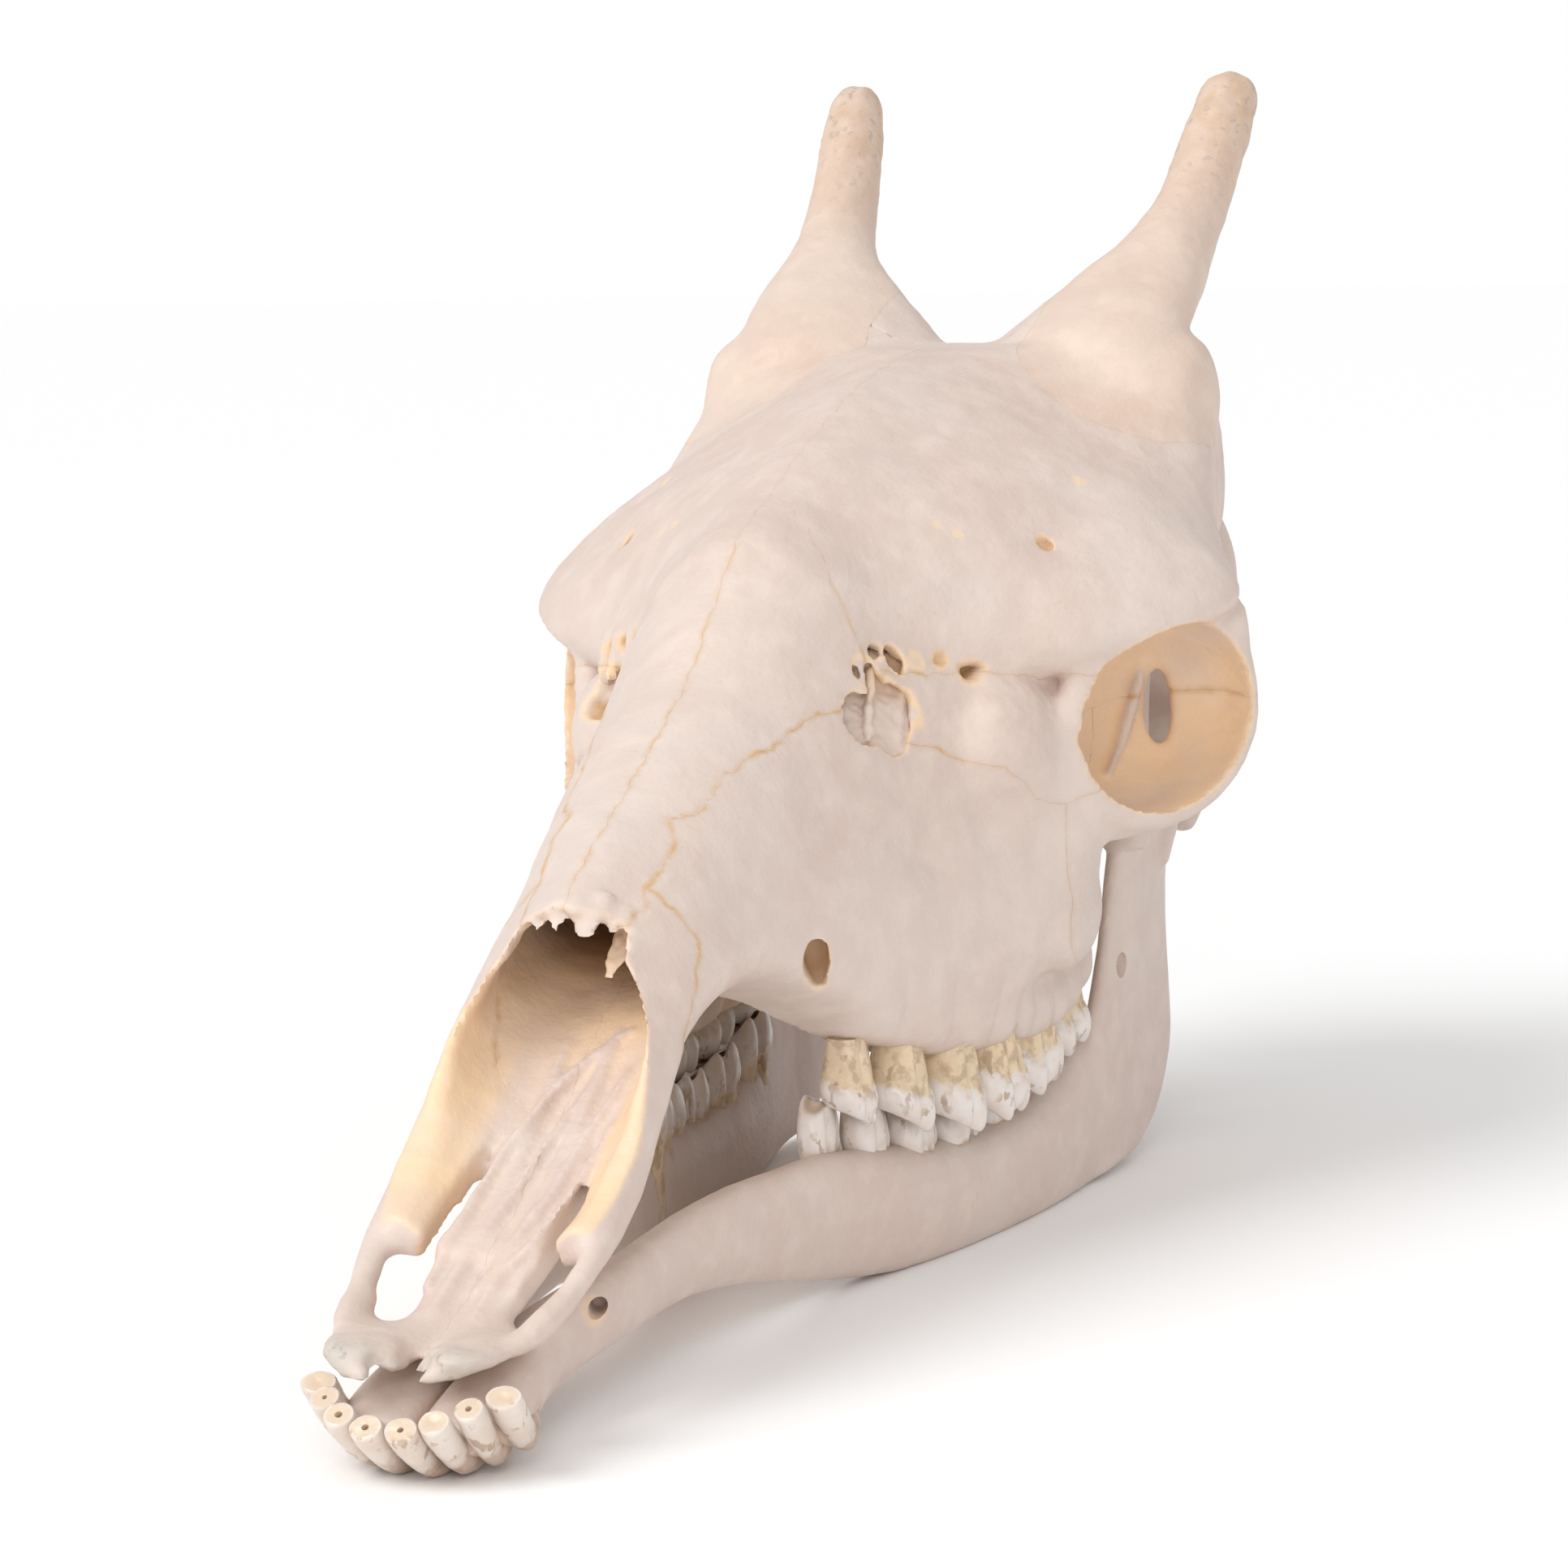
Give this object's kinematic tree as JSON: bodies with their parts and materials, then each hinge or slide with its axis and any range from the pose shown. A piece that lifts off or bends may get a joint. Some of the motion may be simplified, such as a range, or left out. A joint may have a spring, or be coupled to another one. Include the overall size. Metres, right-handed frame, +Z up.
{
  "type": "giraffe skull",
  "caption": "Bare giraffe skull with its lower jaw and teeth, resting on the jaw: long narrow snout, wide brow over round orbits, and bony horns leaning back.",
  "frame": {"origin": "on the floor, in the middle of the skull's bounding box", "axes": "+X to the animal's left, +Y from the incisors to the back of the head, +Z up from the floor the jaw rests on"},
  "size_m": [0.23, 0.5408, 0.34],
  "materials": {
    "bone": "matte, dry bone, ivory beige",
    "jaw_bone": "matte, dry bone with enamel teeth",
    "ossicone_bone": "matte, pitted tan bone"
  },
  "bodies": {
    "root": {"braincase": "bone", "frontal_left": "bone", "frontal_right": "bone", "lacrimal_left": "bone", "lacrimal_right": "bone", "mandible_left": "jaw_bone", "mandible_right": "jaw_bone", "maxilla_left": "bone", "maxilla_right": "bone", "nasal_left": "bone", "nasal_right": "bone", "ossicone_left": "ossicone_bone", "ossicone_right": "ossicone_bone", "premaxilla_left": "bone", "premaxilla_right": "bone", "zygomatic_left": "bone", "zygomatic_right": "bone"}
  },
  "joints": []
}
